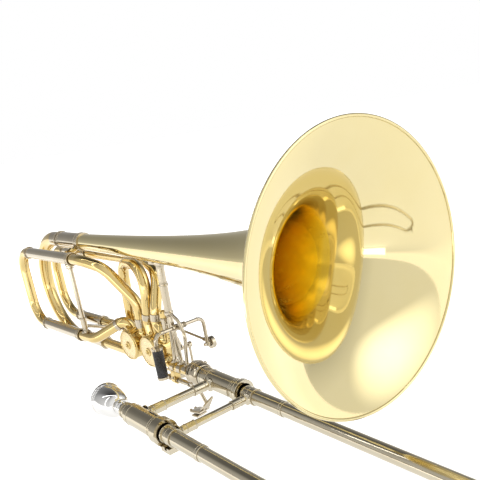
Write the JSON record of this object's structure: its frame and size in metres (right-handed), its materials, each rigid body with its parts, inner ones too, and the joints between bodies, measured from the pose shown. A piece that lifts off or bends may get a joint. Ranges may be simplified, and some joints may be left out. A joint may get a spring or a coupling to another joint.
{
  "type": "bass trombone",
  "caption": "Brass trombone with a wide bell, in-line rotary valves with trigger levers, tuning slides and a long hand slide, drawn closed.",
  "frame": {"origin": "on the neckpipe axis at the middle of the left-hand grip, below the bell brace", "axes": "+X along the neckpipe towards the bell mouth, +Z from the neckpipe up to the bell axis, mouthpiece on -Y"},
  "size_m": [1.2493, 0.254, 0.3404],
  "materials": {
    "lacquered_brass": "polished",
    "cap_brass": "satin",
    "nickel_silver": "polished",
    "slide_nickel": "polished",
    "silver_plate": "polished",
    "roller_black": "satin",
    "buffer_rubber": "matte"
  },
  "bodies": {
    "bell_section": {"bell": "lacquered_brass", "rim_wire": "lacquered_brass", "bell_tail_ferrule": "nickel_silver", "main_upper_leg": "nickel_silver", "main_lower_leg": "nickel_silver", "rear_branch": "lacquered_brass", "neckpipe": "lacquered_brass", "slide_receiver": "nickel_silver", "casing_1": "lacquered_brass", "casing_2": "lacquered_brass", "cap_1": "cap_brass", "cap_2": "cap_brass", "bearing_1": "nickel_silver", "bearing_2": "nickel_silver", "valve_link": "lacquered_brass", "near_upper_tube": "lacquered_brass", "near_lower_tube": "lacquered_brass", "far_rise_tube": "lacquered_brass", "far_fall_tube": "lacquered_brass", "near_legs": "nickel_silver", "far_legs": "nickel_silver", "valve_ferrules": "nickel_silver", "bell_brace": "nickel_silver", "brace_posts": "nickel_silver", "hand_guard": "nickel_silver", "rear_brace": "nickel_silver", "leg_link": "lacquered_brass", "shaft_bracket": "lacquered_brass", "rotor_bumpers": "buffer_rubber", "stop_barrel": "nickel_silver", "stop_knob": "lacquered_brass"},
    "main_slide": {"main_crook": "lacquered_brass", "main_inner_legs": "nickel_silver"},
    "near_slide": {"near_crook": "lacquered_brass", "near_inner_legs": "nickel_silver"},
    "far_slide": {"far_crook": "lacquered_brass", "far_inner_legs": "nickel_silver"},
    "first_rotor": {"rotor_1": "nickel_silver"},
    "second_rotor": {"rotor_2": "nickel_silver"},
    "second_trigger": {"trigger_wire": "nickel_silver"},
    "finger_roller": {"trigger_roller": "roller_black"},
    "trigger_link": {"trigger_rod": "nickel_silver"},
    "thumb_lever": {"thumb_shaft": "nickel_silver", "thumb_paddle": "nickel_silver"},
    "thumb_link": {"thumb_rod": "nickel_silver"},
    "slide_nut": {"lock_nut": "nickel_silver"},
    "inner_slide": {"inner_tubes": "slide_nickel", "cork_barrels": "slide_nickel", "inner_brace": "slide_nickel", "slide_plug": "slide_nickel"},
    "slide_lock": {"lock_ring": "slide_nickel"},
    "mouthpiece_body": {"mouthpiece": "silver_plate"},
    "outer_slide": {"outer_tubes": "slide_nickel", "outer_sleeves": "slide_nickel", "outer_brace": "slide_nickel", "slide_bow": "slide_nickel", "bumper": "buffer_rubber"},
    "water_key_lever": {"water_key": "nickel_silver", "key_cork": "buffer_rubber"}
  },
  "joints": [
    {"name": "main_tuning", "type": "slide", "parent": "bell_section", "child": "main_slide", "axis": [-1, 0, 0], "range_m": [0, 0.05]},
    {"name": "near_tuning", "type": "slide", "parent": "bell_section", "child": "near_slide", "axis": [-1, 0, 0], "range_m": [0, 0.1]},
    {"name": "far_tuning", "type": "slide", "parent": "bell_section", "child": "far_slide", "axis": [-1, 0, 0], "range_m": [0, 0.065]},
    {"name": "thumb_press", "type": "hinge", "parent": "bell_section", "child": "thumb_lever", "pos_m": [-0.02, 0, -0.0195], "axis": [1, 0, 0], "range_deg": [0, 30.3], "stiffness_Nm_per_rad": 0.15, "springref_deg": -17.19},
    {"name": "first_rotor_turn", "type": "hinge", "parent": "bell_section", "child": "first_rotor", "pos_m": [-0.061, 0, 0.021], "axis": [0, -1, 0], "range_deg": [0, 90.2]},
    {"name": "thumb_link_pin", "type": "hinge", "parent": "first_rotor", "child": "thumb_link", "pos_m": [-0.05251, 0.038, 0.01251], "axis": [0, 1, 0], "range_deg": [0, 90.2]},
    {"name": "trigger_press", "type": "hinge", "parent": "bell_section", "child": "second_trigger", "pos_m": [-0.008, 0, 0.057], "axis": [0, 1, 0], "range_deg": [0, 28.13], "stiffness_Nm_per_rad": 0.15, "springref_deg": -17.19},
    {"name": "second_rotor_turn", "type": "hinge", "parent": "bell_section", "child": "second_rotor", "pos_m": [-0.115, 0, 0.021], "axis": [0, -1, 0], "range_deg": [0, 90.2]},
    {"name": "trigger_link_ball", "type": "hinge", "parent": "second_trigger", "child": "trigger_link", "pos_m": [-0.008, 0.0398, 0.021], "axis": [0, -1, 0], "range_deg": [0, 30.8]},
    {"name": "roller_spin", "type": "hinge", "parent": "second_trigger", "child": "finger_roller", "pos_m": [-0.01, -0.032, 0.02], "axis": [0, 0, 1], "continuous": true},
    {"name": "nut_turn", "type": "hinge", "parent": "bell_section", "child": "slide_nut", "pos_m": [0.043, 0, 0], "axis": [0.9986, 0, -0.0523], "continuous": true},
    {"name": "slide_swivel", "type": "hinge", "parent": "bell_section", "child": "inner_slide", "pos_m": [0.043, 0, 0], "axis": [0.9986, 0, -0.0523], "range_deg": [-20, 20]},
    {"name": "slide_lock_turn", "type": "hinge", "parent": "inner_slide", "child": "slide_lock", "pos_m": [0.10292, -0.107, -0.00314], "axis": [0.9986, 0, -0.0523], "range_deg": [0, 30]},
    {"name": "mouthpiece_pull", "type": "slide", "parent": "inner_slide", "child": "mouthpiece_body", "axis": [-0.9986, 0, 0.0523], "range_m": [0, 0.028]},
    {"name": "hand_slide", "type": "slide", "parent": "inner_slide", "child": "outer_slide", "axis": [0.9986, 0, -0.0523], "range_m": [0, 0.58]},
    {"name": "water_key_press", "type": "hinge", "parent": "outer_slide", "child": "water_key_lever", "pos_m": [0.8005, -0.0535, -0.02939], "axis": [0, 1, 0], "range_deg": [0, 22], "stiffness_Nm_per_rad": 0.02, "springref_deg": -17.19}
  ],
  "couplings": [
    {"joint": "first_rotor_turn", "follows": "thumb_press", "ratio": 2.9703},
    {"joint": "thumb_link_pin", "follows": "thumb_press", "ratio": 2.9703},
    {"joint": "second_rotor_turn", "follows": "trigger_press", "ratio": 3.1994},
    {"joint": "trigger_link_ball", "follows": "trigger_press", "ratio": 1.0878}
  ]
}
